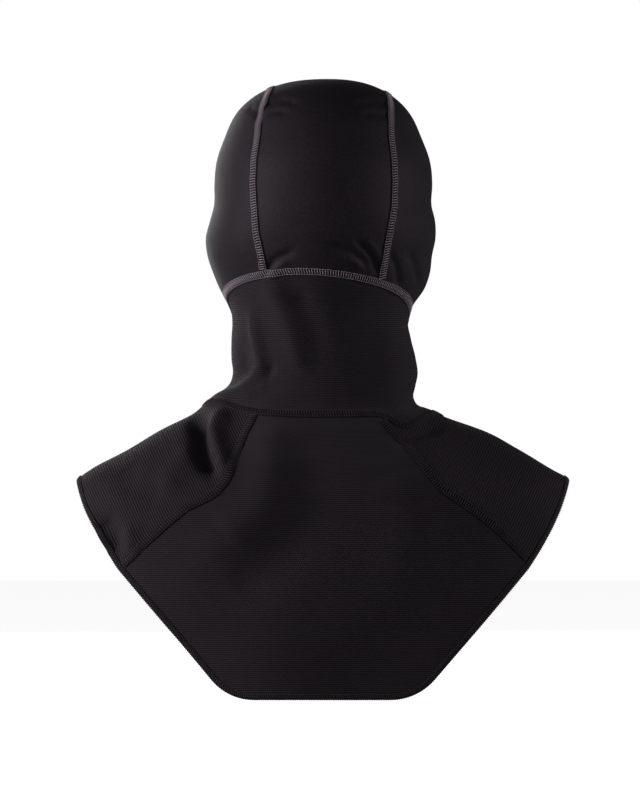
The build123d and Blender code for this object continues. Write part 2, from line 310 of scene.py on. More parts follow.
plain_normals = grid_normals(plain)
relief = fold_height(plain[..., 0], plain[..., 1], plain[..., 2])
skin = plain + plain_normals * relief[..., None]
skin_normals = grid_normals(skin)
for smoothing in range(2):
    skin_normals[1:-1] = (skin_normals[:-2] + 2 * skin_normals[1:-1] + skin_normals[2:]) / 4
skin_normals = unit(skin_normals)
cloth_up = np.concatenate([[0.0], np.cumsum(np.linalg.norm(np.diff(skin, axis=0), axis=-1).mean(axis=1))])

# The inner plies bridge the sharpest folds: they keep below the lowest outer cloth near by.
bridge_reach = 3  # grid steps each way
bridge_slack = 0.6
low_relief = relief
for shift in range(-bridge_reach, bridge_reach + 1):
    low_relief = np.minimum(low_relief, np.roll(relief, shift, axis=1))
across_low = low_relief.copy()
for shift in range(1, bridge_reach + 1):
    low_relief[shift:] = np.minimum(low_relief[shift:], across_low[:-shift])
    low_relief[:-shift] = np.minimum(low_relief[:-shift], across_low[shift:])
bridged_relief = relief - np.maximum(relief - low_relief - bridge_slack, 0.0)
bridged = plain + plain_normals * bridged_relief[..., None]


def skin_grid(every, folded, normals):
    """The skin as points (folded place, plain place, normal, cloth distance) and quads."""
    rows = np.arange(0, len(levels), every)
    rows = np.append(rows[:-1], len(levels) - 1)
    cols = np.arange(0, columns, every)
    pick = np.ix_(rows, cols)
    along = np.broadcast_to(cloth_up[rows][:, None], (len(rows), len(cols)))
    data = np.concatenate([folded[pick], plain[pick], normals[pick], along[..., None]], axis=-1)
    number = np.arange(len(rows) * len(cols)).reshape(len(rows), len(cols))
    right = np.roll(number, -1, axis=1)
    quads = np.stack([number[:-1], number[1:], right[1:], right[:-1]], axis=-1).reshape(-1, 4)
    top = data[-1].mean(axis=0)
    points = np.concatenate([data.reshape(-1, data.shape[-1]), top[None, :]])
    cap = [(number[-1, k], len(points) - 1, right[-1, k]) for k in range(len(cols))]
    return points, quads, cap


# The outer cloth is cut from the whole grid and the hidden plies from every other row and column.
skin_grids = {1: skin_grid(1, skin, skin_normals), 2: skin_grid(2, bridged, plain_normals)}
# Each ply's depth below the outer face, its thickness, and the grid that it is cut from.
ply_stack = {"panel": (0.0, 1.0, 1), "barrier": (1.15, 0.25, 2), "lining": (1.55, 0.75, 2)}
turn_width = 0.09  # metres of cloth for a radian of turn, which sets the loops' width
cut_weld, sliver = 0.25 * mm, 0.05 * mm  # points nearer than this are joined along a cut edge


def clip(points, faces, odd, value):
    """Keeps what lies where value is positive, cutting the faces that cross zero."""
    inside = value > 0
    count = inside[faces].sum(axis=1) if len(faces) else np.zeros(0, int)
    whole = faces[count == 4]
    crossing = [tuple(face) for face in faces[(count > 0) & (count < 4)]]
    kept_odd = []
    cuts = {}
    extra = []
    for face in crossing + odd:
        flags = [inside[corner] for corner in face]
        if all(flags):
            kept_odd.append(face)
            continue
        if not any(flags):
            continue
        outline = []
        for a, b in zip(face, face[1:] + face[:1]):
            if inside[a]:
                outline.append(a)
            if inside[a] != inside[b]:
                key = (min(a, b), max(a, b))
                if key not in cuts:
                    cuts[key] = len(points) + len(extra)
                    extra.append(points[a] + (points[b] - points[a]) * value[a] / (value[a] - value[b]))
                outline.append(cuts[key])
        kept_odd.append(tuple(outline))
    if extra:
        points = np.concatenate([points, np.array(extra)])
    return points, whole, kept_odd


def place(points):
    """Points in millimetres above the hem to metres in the frame."""
    return points * mm + np.array([0.0, 0.0, hem_z])


def new_piece(name, points, faces, uvs, material):
    """A smooth mesh object at the origin with a UV map in metres."""
    mesh = bpy.data.meshes.new(name)
    mesh.from_pydata(points.tolist(), [], [list(map(int, face)) for face in faces])
    layer = mesh.uv_layers.new(name="UVMap")
    corners = np.empty(len(mesh.loops), int)
    mesh.loops.foreach_get("vertex_index", corners)
    layer.data.foreach_set("uv", np.asarray(uvs)[corners].astype(np.float32).ravel())
    mesh.shade_smooth()
    mesh.materials.append(material)
    piece = bpy.data.objects.new(name, mesh)
    bpy.context.scene.collection.objects.link(piece)
    return piece


def cut_panel(part, ply, fields, material, rib_turn=None):
    """One ply of a part: the skin inside all the fields, at its depth, with the cloth's thickness."""
    name = f"{part}_{ply}"
    depth, thickness, grid = ply_stack[ply]
    points, quads, odd = skin_grids[grid]
    for field in fields:
        points, quads, odd = clip(points, quads, odd, field(*points[:, 3:6].T))
    faces = [tuple(face) for face in quads] + odd
    used = np.unique(np.concatenate([np.asarray(face) for face in faces]))
    number = np.full(len(points), -1)
    number[used] = np.arange(len(used))
    points = points[used]
    faces = [tuple(number[list(face)]) for face in faces]
    placed = place(points[:, 0:3] - points[:, 6:9] * depth)
    x, y, level, up = points[:, 3], points[:, 4], points[:, 5], points[:, 9]
    if rib_turn is None:
        uvs = np.stack([np.arctan2(x, y) * turn_width, up * mm], axis=1)
    else:
        tilt = radians(rib_turn)
        across = np.abs(x)
        along, over = across * cos(tilt) + level * sin(tilt), across * sin(tilt) - level * cos(tilt)
        uvs = np.stack([along, over], axis=1) * mm
    piece = new_piece(name + "_cloth", placed, faces, uvs, material)
    working = bmesh.new()
    working.from_mesh(piece.data)
    bmesh.ops.remove_doubles(working, verts=working.verts, dist=cut_weld)
    bmesh.ops.dissolve_degenerate(working, edges=working.edges, dist=sliver)
    bmesh.ops.recalc_face_normals(working, faces=working.faces)
    middle = sum((face.calc_center_median() for face in working.faces), Vector()) / len(working.faces)
    axis_point = Vector((0, 0, middle.z))
    away = ((face.calc_center_median() - axis_point, face) for face in working.faces)
    if sum(step.dot(face.normal) * face.calc_area() for step, face in away) < 0:
        bmesh.ops.reverse_faces(working, faces=working.faces)
    working.to_mesh(piece.data)
    working.free()
    wall = piece.modifiers.new("cloth", "SOLIDIFY")
    wall.thickness = thickness * mm
    wall.offset = -1.0
    wall.use_quality_normals = True
    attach(piece, "root")
    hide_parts(name)
    return piece


class Shade:
    """A socket in a material, with arithmetic."""

    def __init__(self, tree, socket):
        self.tree = tree
        self.socket = socket

    def node(self, kind, settings, values, output=0):
        made = self.tree.nodes.new(kind)
        for key, value in settings.items():
            setattr(made, key, value)
        for key, value in values.items():
            if isinstance(value, Shade):
                self.tree.links.new(value.socket, made.inputs[key])
            else:
                made.inputs[key].default_value = value
        return Shade(self.tree, made.outputs[output])

    def math(self, operation, other=None):
        values = {0: self} if other is None else {0: self, 1: other}
        return self.node("ShaderNodeMath", {"operation": operation}, values)

    def part(self, number):
        """One component of a vector."""
        return self.node("ShaderNodeSeparateXYZ", {}, {0: self}, output=number)

    def __add__(self, other):
        return self.math("ADD", other)

    __radd__ = __add__

    def __sub__(self, other):
        return self.math("SUBTRACT", other)

    def __rsub__(self, other):
        return self.node("ShaderNodeMath", {"operation": "SUBTRACT"}, {0: other, 1: self})

    def __mul__(self, other):
        return self.math("MULTIPLY", other)

    __rmul__ = __mul__

    def noise(self, scale, detail):
        """Noise at this place, in grains to the metre."""
        return self.node("ShaderNodeTexNoise", {}, {"Vector": self, "Scale": scale, "Detail": detail})

    def blend(self, low, high):
        """A colour between two, by this value."""
        return self.node("ShaderNodeMix", {"data_type": "RGBA"}, {0: self, 6: low, 7: high}, output=2)


def material_start(name):
    """A new material: its tree and surface node, its UV map and its place on the hood."""
    material = bpy.data.materials.new(name)
    material.use_nodes = True
    tree = material.node_tree
    surface = tree.nodes["Principled BSDF"]
    coordinates = tree.nodes.new("ShaderNodeTexCoord")
    uv, spot = (Shade(tree, coordinates.outputs[kind]) for kind in ("UV", "Object"))
    return material, tree, surface, uv, spot


def finish_cloth(tree, surface, colour, height, strength, distance, roughness):
    """Joins a cloth's colour, bump and roughness to its surface node."""
    bump = height.node("ShaderNodeBump", {}, {"Height": height, "Strength": strength, "Distance": distance})
    tree.links.new(colour.socket, surface.inputs["Base Color"])
    tree.links.new(bump.socket, surface.inputs["Normal"])
    settle(surface, {
        "Roughness": roughness, "Specular IOR Level": 0.14, "Specular Tint": (1.0, 0.80, 0.96, 1)})


def rib_knit(name, dark, light, pitch, loop_pitch, depth, sheen, loop_share=0.35):
    """Fine rib knit: raised ribs along one way of the cloth, loops along each rib, and loose fibre."""
    material, tree, surface, uv, spot = material_start(name)
    run, rib = uv.part(0), uv.part(1)
    wander = spot.noise(90.0, 2.0)
    ribs = (rib * (2 * pi / pitch) + wander * 1.1).math("SINE") * 0.5 + 0.5
    loops = (run * (2 * pi / loop_pitch) + rib * (pi / pitch)).math("SINE") * 0.5 + 0.5
    fibre = spot.noise(2600.0, 3.0)
    patch = spot.noise(22.0, 4.0)
    height = ribs.math("POWER", 0.7) * (loops * loop_share + (1.0 - loop_share)) + fibre * 0.3
    # The colour follows the ribs and loops, darker in the grooves between them: painted shade. Fibre noise
    # and broad patches add random tone.
    tone_and_painted_groove_shade = (ribs * 0.85 + loops * 0.4 * loop_share + fibre * 0.35 + patch * 0.30) * 0.70
    finish_cloth(tree, surface, tone_and_painted_groove_shade.math("MINIMUM", 1.0).blend(dark, light), height, depth, 0.0005, 0.82)
    settle(surface, {"Sheen Weight": sheen, "Sheen Roughness": 0.45, "Sheen Tint": (0.95, 0.86, 0.95, 1)})
    return material


def stretch_knit(name, dark, light, sheen):
    """Smooth stretch jersey: very fine loops, a soft lustre, fibre, broad patches and pills."""
    material, tree, surface, uv, spot = material_start(name)
    run, rib = uv.part(0), uv.part(1)
    loops = (run * (2 * pi / 0.0008)).math("SINE") * (rib * (2 * pi / 0.0009)).math("SINE") * 0.5 + 0.5
    fibre = spot.noise(3200.0, 2.0)
    patch = spot.noise(30.0, 5.0)
    pill = spot.noise(620.0, 3.0)
    height = loops * 0.5 + fibre * 0.4 + patch * 0.6 + pill * 0.5
    # The colour is a little darker between the fine loops, painted shade in their grooves. It also varies
    # with fibre noise, broad patches and lighter pills.
    tone_and_painted_groove_shade = loops * 0.2 + fibre * 0.3 + patch * 0.4 + (pill - 0.5) * 1.1
    finish_cloth(tree, surface, tone_and_painted_groove_shade.math("MINIMUM", 1.0).blend(dark, light), height, 0.3, 0.0003, 0.62)
    settle(surface, {"Sheen Weight": sheen, "Sheen Roughness": 0.35, "Sheen Tint": (0.97, 0.88, 0.95, 1)})
    return material


crown_charcoal = stretch_knit("crown_jersey", (0.0105, 0.0085, 0.0102, 1), (0.034, 0.0278, 0.0330, 1), 0.02)
barrier_film = stretch_knit("barrier_film", (0.45, 0.45, 0.43, 1), (0.62, 0.62, 0.60, 1), 0.0)
lining_rib = rib_knit(
    "lining_rib", (0.012, 0.011, 0.012, 1), (0.05, 0.045, 0.048, 1), 0.0014, 0.0012, 0.5, 0.05)

# The crown's edges: the nape seam, which is level with the chin in front and rises to the back,
# the two seams over the head (half width and level, for each side), and the face opening.
nape_level, nape_slope, nape_tilt, chin_drop = 314.3, 0.283, 0.0625, 0.15
crown_line = {
    1: [(45.5, 325), (49, 350), (53, 369), (55.2, 409), (54.4, 432), (52.4, 461), (47.5, 474), (41, 489),
        (41, 500)],
    -1: [(46, 325), (51, 357), (56.5, 388), (57.6, 411), (56.8, 437), (55.2, 463), (54, 475), (50.5, 487),
         (50.5, 500)],
}
face_level, face_half_width, face_half_height = 379.0, 60.0, 77.0
face_front = -20.0  # the opening cuts only cloth that lies further forward than this
under_binding = 6.0  # how far the crown's cut edge stands back from the opening


def nape_rise(x, y):
    """The nape seam rises to the back, dips under the chin, and sits a little higher on the left."""
    return nape_slope * y + chin_drop * np.minimum(y, 0.0) + nape_tilt * x


def nape_field(x, y, level):
    """Positive above the nape seam."""
    return (level - nape_level - nape_rise(x, y)) / np.hypot(1.0, nape_slope)


def crown_field(x, y, level):
    """Positive in the crown's middle strip. Low in front the side panels meet instead."""
    value = np.zeros(np.shape(x))
    for side, line in crown_line.items():
        half = np.interp(level, [p[1] for p in line], [p[0] for p in line])
        value = np.where(x * side >= 0, half - np.abs(x), value)
    low_front = np.minimum(-y, face_level - level)
    return np.minimum(value, -low_front)


def face_field(margin):
    """Positive outside the face opening grown by the margin, and everywhere on the back."""
    def field(x, y, level):
        across, rise = x / (face_half_width + margin), (level - face_level) / (face_half_height + margin)
        return np.where(y < face_front, (np.hypot(across, rise) - 1) * face_half_width, face_half_width)
    return field


def flip(field):
    return lambda x, y, level: -field(x, y, level)


def side_of(sign):
    return lambda x, y, level: x * sign


# Each panel's inner edges, the width and length it was cut to, and the area of its shaped cut.
crown_panels = {
    "crown_centre": ([crown_field], (0.13, 0.36), 0.033),
    "crown_left": ([flip(crown_field), side_of(1)], (0.20, 0.23), 0.030),
    "crown_right": ([flip(crown_field), side_of(-1)], (0.20, 0.23), 0.030),
}
inner_plies = (("barrier", barrier_film, "barrier_layer"), ("lining", lining_rib, "lining_knit"))
for ply, cloth, slot in (("panel", crown_charcoal, "charcoal_knit"), *inner_plies):
    for part, (edges, flat, area) in crown_panels.items():
        piece = cut_panel(part, ply, [nape_field, face_field(under_binding)] + edges, cloth)

# ----------------------------------------
# Neck: one rib-knit tube, seamed in front, slack enough to pass the head, with a barrier and a
# lining inside. It is sewn to the crown at the nape seam and to the cape at the neck's foot.
neck_level, neck_slope = 225.0, 0.015
rib_charcoal = rib_knit(
    "charcoal_rib", (0.0035, 0.0028, 0.0034, 1), (0.043, 0.0352, 0.0418, 1), 0.00165, 0.0013, 0.9, 0.06)


def neck_shift(x):
    """The neck seam rides up over the slack cloth at the left shoulder and dips at the right."""
    rise = 8.0 * smoothstep(40.0, 90.0, x)
    dip = -9.0 * np.exp(-(((x + 66.0) / 13.0) ** 2))
    return rise + dip


def neck_rise(x, y):
    return neck_slope * y + neck_shift(x)


def neck_field(x, y, level):
    """Positive above the seam at the neck's foot."""
    return (level - neck_level - neck_rise(x, y)) / np.hypot(1.0, neck_slope)


for ply, cloth, slot in (("panel", rib_charcoal, "charcoal_knit"), *inner_plies):
    piece = cut_panel("neck", ply, [neck_field, flip(nape_field)], cloth)

# ----------------------------------------
# Cape: a bib in front and one behind, joined by two shoulder panels whose ribs follow the
# arm-side hem. Two plies of rib knit, no barrier.
shoulder_rib = rib_knit(
    "shoulder_rib", (0.0030, 0.0024, 0.0029, 1), (0.046, 0.0377, 0.0447, 1), 0.0020, 0.0016, 0.9, 0.02, 0.1)
shoulder_rib_turn = 64.7  # degrees from level
shoulder_side = {
    1: [(46, 240), (54.5, 224), (62.5, 209), (71, 188), (76, 174), (84, 164), (97, 157), (108, 152),
        (124, 139), (139, 125.5), (158, 107.5), (180, 85)],
    -1: [(40, 238), (49, 219), (62, 205.5), (71.5, 195.5), (83.5, 179.5), (94.5, 167), (111, 156),
         (126.5, 145), (141.5, 132.5), (155, 118.5), (166, 107), (186, 87)],
}
hem_corner, hem_radius = 75.0, 45.0
hem_turn, hem_bulge, hem_tip = (163.0, 103.0), (185.5, 141.0), (197.0, 175.0)
bottom_points, corner_points, side_points = 12, 12, 16  # along the hem


def shoulder_field(x, y, level):
    """Positive on the arm side of the shoulder seam."""
    value = np.zeros(np.shape(x))
    for side, line in shoulder_side.items():
        gap, _ = near_line(np.abs(x), level, line)
        keys = np.array(sorted((h, w) for w, h in line))
        half = np.interp(level, keys[:, 0], keys[:, 1])
        value = np.where(x * side >= 0, gap * np.sign(np.abs(x) - half), value)
    return value


def hem_outline():
    """The hem's right half in back view, from the middle of the bottom to the shoulder tip."""
    direction = np.array(hem_turn) - np.array((hem_corner, 0.0))
    direction /= np.linalg.norm(direction)
    bend = np.arctan2(direction[1], direction[0])
    setback = hem_radius * np.tan(bend / 2)
    line = [(x, 0.0) for x in np.linspace(0.0, hem_corner - setback, bottom_points)]
    for angle in np.linspace(0.0, bend, corner_points)[1:]:
        line.append((hem_corner - setback + hem_radius * np.sin(angle), hem_radius * (1 - np.cos(angle))))
    shares = np.linspace(0, 1, side_points)[1:]
    start = np.array(line[-1])
    line += [tuple(start + (np.array(hem_turn) - start) * share) for share in shares]
    a, b, c = (np.array(p) for p in (hem_turn, hem_bulge, hem_tip))
    control = 2 * b - (a + c) / 2
    for share in shares:
        line.append(tuple((1 - share) ** 2 * a + 2 * share * (1 - share) * control + share**2 * c))
    return line


hem_line = hem_outline()


def hem_field(x, y, level):
    """Positive inside the hem."""
    gap, _ = near_line(np.abs(x), level, hem_line)
    side = np.array(hem_line)[bottom_points - 1:]
    edge = np.interp(level, side[:, 1], side[:, 0])
    within = (np.abs(x) < edge) & (level > 0) | (level > hem_tip[1])
    well_inside, above_tip = 50.0, 6.0
    return np.where(level > hem_tip[1] + above_tip, well_inside, np.where(within, gap, -gap))


def facing_of(sign):
    return lambda x, y, level: y * sign + 0.01


cape_fields = [flip(neck_field), hem_field]
cape_plies = (("panel", rib_charcoal, shoulder_rib, "charcoal_knit"),
              ("lining", lining_rib, lining_rib, "lining_knit"))
for ply, bib_cloth, shoulder_cloth, slot in cape_plies:
    for facing, part in ((1, "back_bib"), (-1, "front_bib")):
        piece = cut_panel(part, ply, cape_fields + [flip(shoulder_field), facing_of(facing)], bib_cloth)
    for side, part in ((1, "left_shoulder"), (-1, "right_shoulder")):
        fields = cape_fields + [shoulder_field, side_of(side)]
        piece = cut_panel(part, ply, fields, shoulder_cloth, rib_turn=shoulder_rib_turn)

# ----------------------------------------
# Flat seams: two panels butted edge to edge and covered with a ladder of spun thread between
# rows of needle stitches, 6.4 mm wide. Grey thread on crown and nape, black below.
seam_half = 3.2  # where a crossing seam stops, each side of the one it meets
hem_band = 4.8  # kept free of seams along the hem, for its own band


def spun_thread(name, dark, light):
    """Spun polyester thread: twisted plies and a little fibre."""
    material, tree, surface, _, spot = material_start(name)
    twist = spot.noise(1500.0, 2.0)
    patch = spot.noise(60.0, 2.0)
    # The thread's colour follows its twist bump, darker in the low parts: painted shade between the plies,
    # with broad patches of tone.
    finish_cloth(tree, surface, (twist * 0.7 + patch * 0.3).blend(dark, light), twist, 0.4, 0.0002, 0.7)
    settle(surface, {"Sheen Weight": 0.08})
    return material


grey_thread = spun_thread("grey_thread", (0.19, 0.155, 0.18, 1), (0.58, 0.49, 0.56, 1))
black_thread = spun_thread("black_thread", (0.014, 0.0115, 0.0135, 1), (0.085, 0.070, 0.081, 1))
# Near black, darker than cloth and thread: the seams' dark joint, and a painted shadow line beside each seam.
# The hem's band is drawn in it too.
dark_bed_and_painted_shadow = spun_thread("dark_bed_and_painted_shadow", (0.003, 0.0025, 0.003, 1), (0.012, 0.010, 0.012, 1))


def stitch_tree():
    """Geometry Nodes: oval stitches set along a line on the cloth, square to its stored normal."""
    tree = bpy.data.node_groups.new("stitch_row", "GeometryNodeTree")
    face = tree.interface
    face.new_socket("Course", in_out="INPUT", socket_type="NodeSocketGeometry")
    for label in ("Pitch", "Across", "Lift", "Length", "Width", "Height", "Slant"):
        face.new_socket(label, in_out="INPUT", socket_type="NodeSocketFloat")
    face.new_socket("Thread", in_out="INPUT", socket_type="NodeSocketMaterial")
    face.new_socket("Stitches", in_out="OUTPUT", socket_type="NodeSocketGeometry")
    given = tree.nodes.new("NodeGroupInput").outputs
    end = tree.nodes.new("NodeGroupOutput")

    def add(kind, values, **settings):
        node = tree.nodes.new(kind)
        for key, value in settings.items():
            setattr(node, key, value)
        for key, value in values.items():
            if isinstance(value, bpy.types.NodeSocket):
                tree.links.new(value, node.inputs[key])
            else:
                node.inputs[key].default_value = value
        return node.outputs[0]

    curve = add("GeometryNodeMeshToCurve", {"Mesh": given["Course"]})
    points = add("GeometryNodeCurveToPoints", {"Curve": curve, "Length": given["Pitch"]}, mode="LENGTH")
    tangent = points.node.outputs["Tangent"]
    normal = add("GeometryNodeInputNamedAttribute", {"Name": "cloth_normal"}, data_type="FLOAT_VECTOR")
    side = add("ShaderNodeVectorMath", {0: tangent, 1: normal}, operation="CROSS_PRODUCT")
    side_step = add("ShaderNodeVectorMath", {0: side, "Scale": given["Across"]}, operation="SCALE")
    lift_step = add("ShaderNodeVectorMath", {0: normal, "Scale": given["Lift"]}, operation="SCALE")
    step = add("ShaderNodeVectorMath", {0: side_step, 1: lift_step}, operation="ADD")
    stand = add("FunctionNodeAxesToRotation", {0: normal, 1: tangent}, primary_axis="Z", secondary_axis="X")
    slant = add("ShaderNodeCombineXYZ", {"Z": given["Slant"]})
    spin = add("FunctionNodeEulerToRotation", {0: slant})
    turned = add("FunctionNodeRotateRotation", {0: stand, 1: spin}, rotation_space="LOCAL")
    moved = add("GeometryNodeSetPosition", {"Geometry": points, "Offset": step})
    oval = add("GeometryNodeMeshUVSphere", {"Segments": 6, "Rings": 5, "Radius": 0.5})
    shape = add("ShaderNodeCombineXYZ", {"X": given["Length"], "Y": given["Width"], "Z": given["Height"]})
    sized = add("GeometryNodeTransform", {"Geometry": oval, "Scale": shape})
    smooth = add("GeometryNodeSetShadeSmooth", {"Geometry": sized})
    row = add("GeometryNodeInstanceOnPoints", {"Points": moved, "Instance": smooth, "Rotation": turned})
    real = add("GeometryNodeRealizeInstances", {"Geometry": row})
    coloured = add("GeometryNodeSetMaterial", {"Geometry": real, "Material": given["Thread"]})
    tree.links.new(coloured, end.inputs[0])
    return tree


stitch_row = stitch_tree()


def stitched(name, course, rows, thread):
    """The stitches along a course (places, normals, closed), a row for each set of sizes, as one mesh."""
    places, normals, closed = course
    mesh = bpy.data.meshes.new(name + "_course")
    edges = [(k, k + 1) for k in range(len(places) - 1)] + ([(len(places) - 1, 0)] if closed else [])
    mesh.from_pydata(place(places).tolist(), edges, [])
    stored = mesh.attributes.new("cloth_normal", "FLOAT_VECTOR", "POINT")
    stored.data.foreach_set("vector", normals.astype(np.float32).ravel())
    sockets = [item for item in stitch_row.interface.items_tree if item.in_out == "INPUT"]
    inputs = {socket.name: socket.identifier for socket in sockets}
    gathered = bmesh.new()
    for sizes in rows:
        carrier = bpy.data.objects.new(name + "_course", mesh)
        bpy.context.scene.collection.objects.link(carrier)
        row = carrier.modifiers.new("row", "NODES")
        row.node_group = stitch_row
        for size, value in dict(sizes, Thread=thread).items():
            row[inputs[size]] = value
        finished = carrier.evaluated_get(bpy.context.evaluated_depsgraph_get())
        made = bpy.data.meshes.new_from_object(finished)
        gathered.from_mesh(made)
        bpy.data.meshes.remove(made)
        bpy.data.objects.remove(carrier)
    result = bpy.data.meshes.new(name)
    gathered.to_mesh(result)
    gathered.free()
    result.shade_smooth()
    result.materials.append(thread)
    piece = bpy.data.objects.new(name, result)
    bpy.context.scene.collection.objects.link(piece)
    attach(piece, "root")
    return piece


def swept(name, course, section, material, ripple=0.0, ripple_pitch=7.0):
    """A closed section (across, lift) carried along a course, capped unless the course closes."""
    places, normals, closed = course
    if closed:
        tangents = np.roll(places, -1, axis=0) - np.roll(places, 1, axis=0)
    else:
        tangents = np.gradient(places, axis=0)
    across = unit(np.cross(unit(tangents), normals))
    steps = np.linalg.norm(np.diff(places, axis=0), axis=1)
    along = np.concatenate([[0.0], np.cumsum(steps)])
    count = len(section)
    wave = ripple * np.sin(2 * pi * along / ripple_pitch)
    rings = [places + across * a + normals * (lift + wave[:, None] * (1 if lift > 0 else -1))
             for a, lift in section]
    grid = np.stack(rings, axis=1).reshape(-1, 3)
    total = len(places)
    faces = []
    for k in range(total if closed else total - 1):
        after = (k + 1) % total
        for j in range(count):
            next_j = (j + 1) % count
            faces.append((k * count + j, after * count + j, after * count + next_j, k * count + next_j))
    if not closed:
        faces.append(tuple(range(count)))
        faces.append(tuple((total - 1) * count + j for j in reversed(range(count))))
    sides = [np.hypot(b[0] - a[0], b[1] - a[1]) for a, b in zip(section, section[1:])]
    outline = np.concatenate([[0.0], np.cumsum(sides)])
    uvs = np.stack([np.repeat(along, count), np.tile(outline, total)], axis=1) * mm
    piece = new_piece(name, place(grid), faces, uvs, material)
    working = bmesh.new()
    working.from_mesh(piece.data)
    bmesh.ops.recalc_face_normals(working, faces=working.faces)
    working.to_mesh(piece.data)
    working.free()
    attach(piece, "root")
    return piece


def turn_at(x, level, facing):
    """The turn at which a level of the form is at x, on its back (1) or front (-1)."""
    left, right, _, _, squareness = form_at(level)
    share = np.clip(np.abs(x) / np.where(x >= 0, left, right), 0.0, 1.0)
    quarter = np.arcsin(share ** (squareness / 2.0))
    quarter = quarter if facing > 0 else pi - quarter
    return np.where(x >= 0, quarter, -quarter)


def spots(level, turn):
    """Where points of the form lie on the folded cloth, and the cloth's normals there."""
    row = np.clip(np.interp(level, levels, np.arange(len(levels))), 0, len(levels) - 1.001)
    column = np.mod(turn, 2 * pi) / (2 * pi) * columns
    r0, c0 = np.floor(row).astype(int), np.floor(column).astype(int) % columns
    r, c = (row - np.floor(row))[:, None], (column - np.floor(column))[:, None]
    c1 = (c0 + 1) % columns

    def blend(grid):
        low = grid[r0, c0] * (1 - c) + grid[r0, c1] * c
        high = grid[r0 + 1, c0] * (1 - c) + grid[r0 + 1, c1] * c
        return low * (1 - r) + high * r

    return blend(skin), unit(blend(skin_normals))


def even(points, step):
    """A line of points made evenly spaced, by what all their columns add up to."""
    points = np.asarray(points, float)
    far = np.concatenate([[0.0], np.cumsum(np.linalg.norm(np.diff(points, axis=0), axis=1))])
    wanted = np.linspace(0.0, far[-1], max(int(far[-1] / step), 4))
    return np.stack([np.interp(wanted, far, points[:, k]) for k in range(points.shape[1])], axis=1)


def ease(places, normals, closed, step=1.2):
    """The course in even, short steps."""
    both = np.concatenate([places, normals * 1e-6], axis=1)  # so small, the normals add no length
    if closed:
        both = np.concatenate([both, both[:1]])
    both = even(both, step)
    if closed:
        both = both[:-1]
    return both[:, :3], unit(both[:, 3:] * 1e6), closed


def round_course(level, rise):
    """A seam that runs all round the hood near a level."""
    turn = np.linspace(0.0, 2 * pi, 361)[:-1]
    heights = np.full(turn.shape, level)
    for settling in range(30):
        at = form_point(heights, turn)
        target = level + rise(at[:, 0], at[:, 1])
        heights = heights * 0.5 + target * 0.5
    places, normals = spots(heights, turn)
    return ease(places, normals, True)


def crown_course(side):
    """A crown seam: up the back from the nape seam, over the crown and down to the face binding."""
    line = np.array(crown_line[side])
    over_start = crown_level + 20.0  # where the seam leaves the back and runs over the crown
    under_edge = 5.0  # it ends this far out from the face opening, under the binding

    def half(level):
        return side * np.interp(level, line[:, 1], line[:, 0])

    probe = np.linspace(300.0, 400.0, 401)
    at = form_point(probe, turn_at(half(probe), probe, 1))
    start = probe[np.argmax(nape_field(*at.T) > seam_half)]
    back_levels = np.linspace(start, over_start, 60)
    back_turns = turn_at(half(back_levels), back_levels, 1)
    low = np.linspace(380.0, 470.0, 361)
    across = half(low) / (face_half_width + under_edge)
    rise = (low - face_level) / (face_half_height + under_edge)
    front_start = low[np.argmax(np.hypot(across, rise) > 1)]
    left, right, depth, _, _ = form_at(np.array([crown_level]))
    width = left[0] if side > 0 else right[0]
    over = []
    low_y = depth[0] * np.sqrt(0.9)
    for y in np.linspace(low_y, -low_y, 121):
        level = crown_level + 60.0
        for settling in range(20):
            share = min(0.999, np.hypot(half(level) / width, y / depth[0]))
            level = crown_level + dome_height * (1 - share**dome_fullness) ** (1 / dome_fullness)
        x = half(level)
        over.append((level, np.arctan2(x / width, y / depth[0])))
    over = np.array(over)
    over = over[over[:, 0] > np.where(np.cos(over[:, 1]) > 0, over_start + 1.0, front_start)]
    heights = np.concatenate([back_levels, over[:, 0]])
    around = np.concatenate([back_turns, over[:, 1]])
    places, normals = spots(heights, around)
    return ease(places, normals, False)


def line_course(line, facing, side):
    """A seam that follows a line of back view, on the back or front, from neck seam to hem."""
    dense = even(np.array(line), 1.5)
    at = form_point(dense[:, 1], turn_at(side * dense[:, 0], dense[:, 1], facing))
    keep = (neck_field(*at.T) < -seam_half) & (hem_field(*at.T) > hem_band)
    dense = dense[keep]
    places, normals = spots(dense[:, 1], turn_at(side * dense[:, 0], dense[:, 1], facing))
    return ease(places, normals, False)


def short_course(low, high):
    """A seam straight up the middle of the front."""
    heights = np.linspace(low, high, 60)
    places, normals = spots(heights, np.full(60, pi))
    return ease(places, normals, False)


# The bed under the stitches, as (across, lift): a near-black seam joint that is wider on one side, 1 or -1,
# where its strip past the stitches is a painted shadow line beside the seam.
seam_section = [
    (-3.4, -0.3), (-3.3, 0.10), (-2.6, 0.42), (-1.3, 0.5), (0, 0.42), (1.3, 0.5), (2.6, 0.42), (3.2, 0.15),
    (4.3, 0.10), (4.4, -0.3)]
# The side of each seam that carries the painted shadow line.
painted_shadow_side = {
    "nape_seam": -1, "neck_base_seam": -1, "crown_left_seam": 1, "crown_right_seam": -1, "chin_seam": 1,
    "neck_front_seam": 1, "back_left_shoulder_seam": -1, "back_right_shoulder_seam": 1,
    "front_left_shoulder_seam": 1, "front_right_shoulder_seam": -1}
ladder = {"Pitch": 0.0021, "Across": 0.0, "Lift": 0.00055, "Length": 0.00075, "Width": 0.0056,
          "Height": 0.0008, "Slant": 0.22}
needle = {"Pitch": 0.0021, "Lift": 0.0006, "Length": 0.0018, "Width": 0.00062, "Height": 0.0006, "Slant": 0.0}
flat_seam = [ladder] + [dict(needle, Across=gap) for gap in (-0.0027, 0.0027)]
neck_front_top, chin_bottom, chin_top = 269.5, 277.0, 294.0

